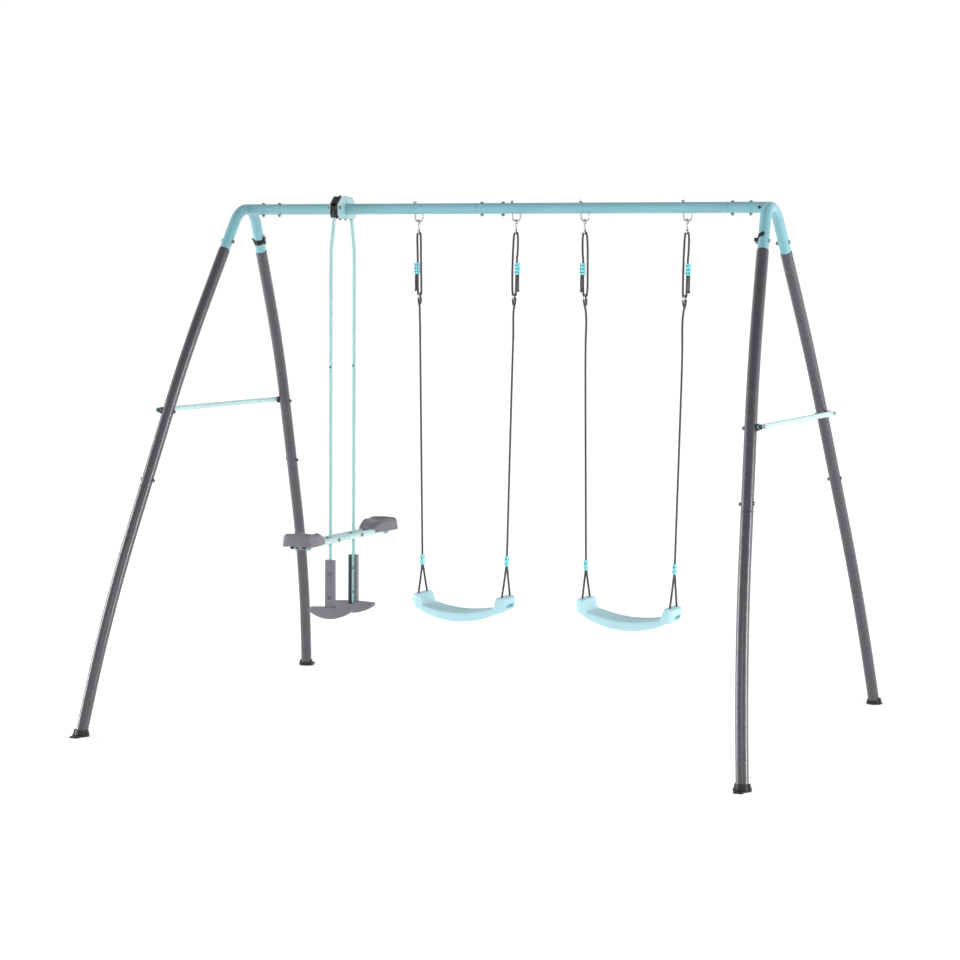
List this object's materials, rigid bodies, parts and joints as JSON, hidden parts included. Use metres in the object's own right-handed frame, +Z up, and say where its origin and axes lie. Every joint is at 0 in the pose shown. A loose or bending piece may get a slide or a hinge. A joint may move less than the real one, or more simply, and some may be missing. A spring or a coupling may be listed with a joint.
{
  "type": "swing set",
  "caption": "Free-standing garden swing set: bent-leg A-frames under a straight beam, rope swings with moulded seats, and a two-seat glider.",
  "frame": {"origin": "centre of the footprint, on the ground", "axes": "+X along the beam towards the end without the glider, +Y across the set towards the rear legs, +Z up"},
  "size_m": [2.7766, 2.1718, 2.1562],
  "materials": {
    "corner_paint": "gloss teal paint",
    "leg_paint": "hammered charcoal paint",
    "aqua_paint": "gloss pale aqua paint",
    "zinc": "bright zinc plate",
    "dark_fastener": "black zinc",
    "rope": "braided polyester",
    "adjuster_plastic": "smooth",
    "seat_plastic": "fine grain",
    "grey_plastic": "fine grain",
    "black_plastic": "satin"
  },
  "bodies": {
    "frame": {"corner_left": "corner_paint", "corner_right": "corner_paint", "beam_left": "corner_paint", "beam_right": "corner_paint", "leg_front_left_upper": "leg_paint", "leg_front_left_lower": "leg_paint", "leg_back_left_upper": "leg_paint", "leg_back_left_lower": "leg_paint", "leg_front_right_upper": "leg_paint", "leg_front_right_lower": "leg_paint", "leg_back_right_upper": "leg_paint", "leg_back_right_lower": "leg_paint", "foot_front_left": "black_plastic", "foot_back_left": "black_plastic", "foot_front_right": "black_plastic", "foot_back_right": "black_plastic", "brace_left": "aqua_paint", "brace_right": "aqua_paint", "brace_spacers": "black_plastic", "frame_bolts": "dark_fastener", "frame_nuts": "dark_fastener", "arm_straps": "black_plastic", "stub_plug": "black_plastic", "beam_hooks": "zinc", "glider_plates": "aqua_paint", "glider_block_front": "black_plastic", "glider_block_back": "black_plastic", "glider_bracket_bolts": "dark_fastener"},
    "swing_a": {"swing_a_rope_left": "rope", "swing_a_rope_right": "rope", "swing_a_s_hooks": "zinc", "swing_a_rings": "zinc", "swing_a_adjusters": "adjuster_plastic", "swing_a_seat": "seat_plastic"},
    "swing_b": {"swing_b_rope_left": "rope", "swing_b_rope_right": "rope", "swing_b_s_hooks": "zinc", "swing_b_rings": "zinc", "swing_b_adjusters": "adjuster_plastic", "swing_b_seat": "seat_plastic"},
    "glider_front_hanger": {"glider_hanger_front_upper": "aqua_paint", "glider_hanger_front_lower": "aqua_paint", "glider_knuckle_front": "black_plastic", "footrest_front": "grey_plastic", "hanger_screws_front": "dark_fastener"},
    "glider_back_hanger": {"glider_hanger_back_upper": "aqua_paint", "glider_hanger_back_lower": "aqua_paint", "glider_knuckle_back": "black_plastic", "footrest_back": "grey_plastic", "hanger_screws_back": "dark_fastener", "glider_pin_back": "dark_fastener"},
    "glider_carriage": {"glider_bar_left": "aqua_paint", "glider_bar_right": "aqua_paint", "glider_bar_caps": "black_plastic", "glider_pin_front": "dark_fastener", "glider_spacers": "black_plastic", "glider_seat_front": "grey_plastic", "glider_seat_back": "grey_plastic", "glider_seat_plates": "aqua_paint", "glider_seat_bolts": "dark_fastener"}
  },
  "joints": [
    {"name": "swing_a_hinge", "type": "hinge", "parent": "frame", "child": "swing_a", "pos_m": [-0.135, 0, 2.047], "axis": [1, 0, 0], "range_deg": [-60, 60]},
    {"name": "swing_b_hinge", "type": "hinge", "parent": "frame", "child": "swing_b", "pos_m": [0.59, 0, 2.047], "axis": [1, 0, 0], "range_deg": [-60, 60]},
    {"name": "glider_front_hinge", "type": "hinge", "parent": "frame", "child": "glider_front_hanger", "pos_m": [-0.695, -0.076, 2.104], "axis": [1, 0, 0], "range_deg": [-15, 15]},
    {"name": "glider_back_hinge", "type": "hinge", "parent": "frame", "child": "glider_back_hanger", "pos_m": [-0.695, 0.076, 2.104], "axis": [1, 0, 0], "range_deg": [-15, 15]},
    {"name": "glider_carriage_hinge", "type": "hinge", "parent": "glider_front_hanger", "child": "glider_carriage", "pos_m": [-0.695, -0.115, 0.727], "axis": [1, 0, 0], "range_deg": [-10.02, 10.02]}
  ],
  "couplings": [
    {"joint": "glider_back_hinge", "follows": "glider_front_hinge", "ratio": 1},
    {"joint": "glider_carriage_hinge", "follows": "glider_front_hinge", "ratio": -0.6615}
  ]
}
